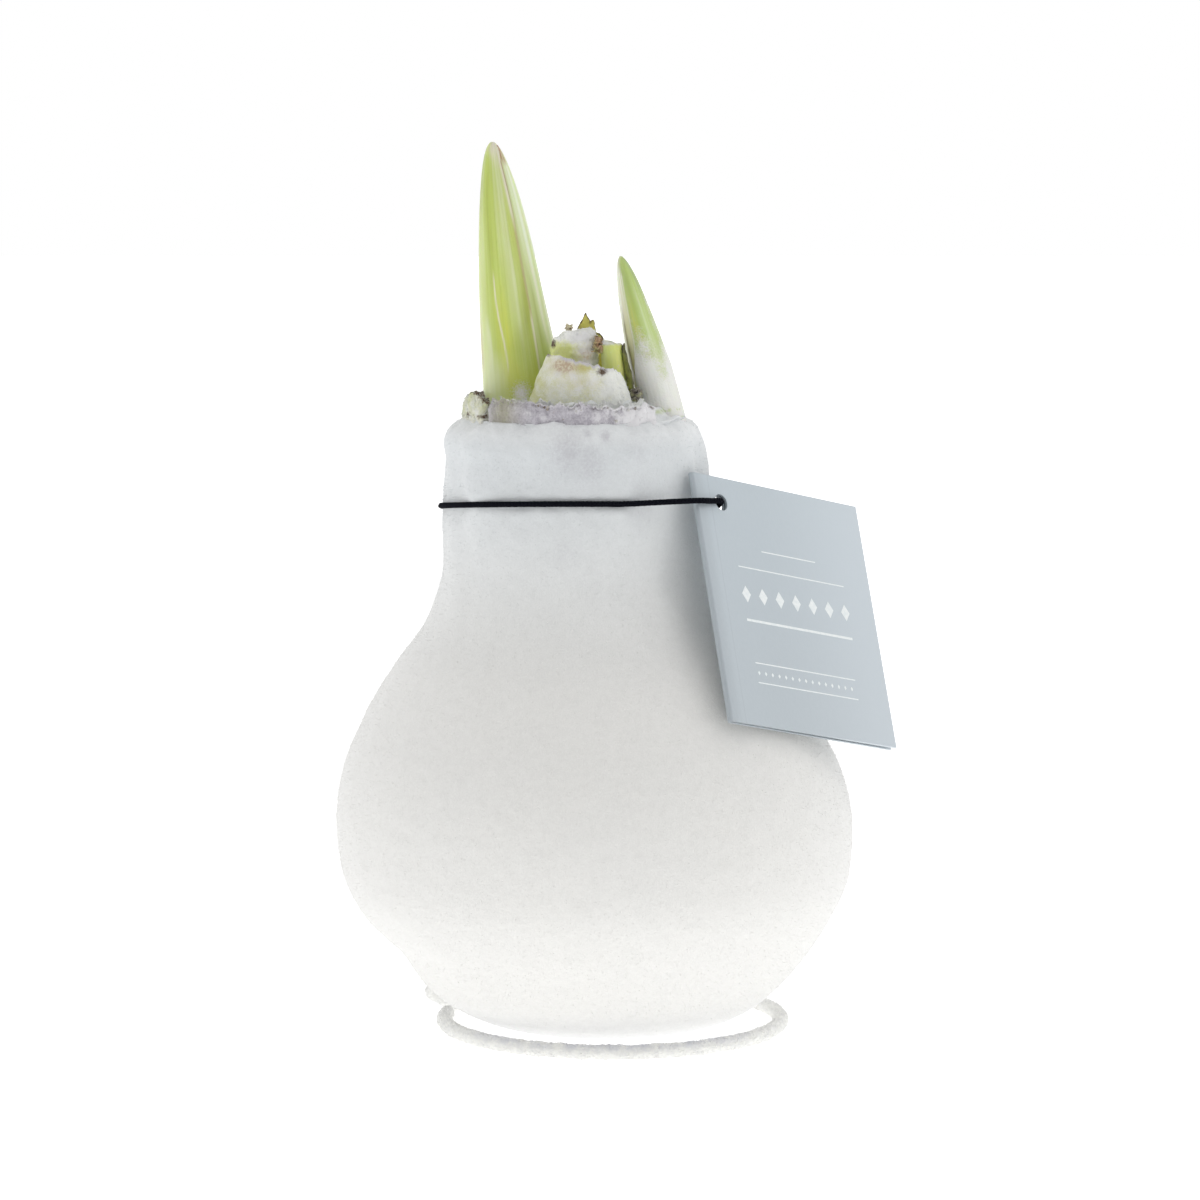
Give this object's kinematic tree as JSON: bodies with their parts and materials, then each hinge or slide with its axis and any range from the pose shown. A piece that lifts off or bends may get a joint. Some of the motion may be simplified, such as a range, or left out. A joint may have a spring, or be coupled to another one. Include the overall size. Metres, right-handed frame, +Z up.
{
  "type": "amaryllis bulb",
  "caption": "Amaryllis bulb in a velvet-like coat with young green shoots, cut leaf stubs, a folded hang tag on a neck cord and a wire ring stand.",
  "frame": {"origin": "on the surface that it stands on, under the middle of the flat spot of the bulb's base", "axes": "+X to the right of the shown side, +Y away from it, +Z up along the shoots"},
  "size_m": [0.0986, 0.0912, 0.1561],
  "materials": {
    "velvet_coat": "soft matte flock over wax",
    "dry_scale": "matte dry bulb scale",
    "fleshy_scale": "matte fleshy bulb scale",
    "flocked_stub": "matte leaf stub under thin flock",
    "shoot_green": "glossy fresh leaf",
    "shoot_pale_green": "glossy young leaf",
    "dry_leaf": "matte dried leaf",
    "black_elastic": "braided elastic",
    "tag_card": "satin silver blue-grey card",
    "flocked_wire": "grainy flock over steel wire"
  },
  "bodies": {
    "root": {"bulb": "velvet_coat", "neck_scale_front": "dry_scale", "neck_scale_back": "dry_scale", "neck_scale_left": "fleshy_scale", "neck_scale_inner": "fleshy_scale", "leaf_stub_outer": "flocked_stub", "leaf_stub_middle": "flocked_stub", "leaf_stub_inner": "shoot_green", "leaf_stub_strip": "dry_leaf", "dry_leaf_tip": "dry_leaf", "shoot_large_outer_leaf": "shoot_green", "shoot_large_inner_leaf": "shoot_pale_green", "shoot_small_outer_leaf": "shoot_green", "shoot_small_inner_leaf": "shoot_pale_green", "hang_tag": "tag_card", "neck_cord": "black_elastic", "wire_stand": "flocked_wire"}
  },
  "joints": []
}
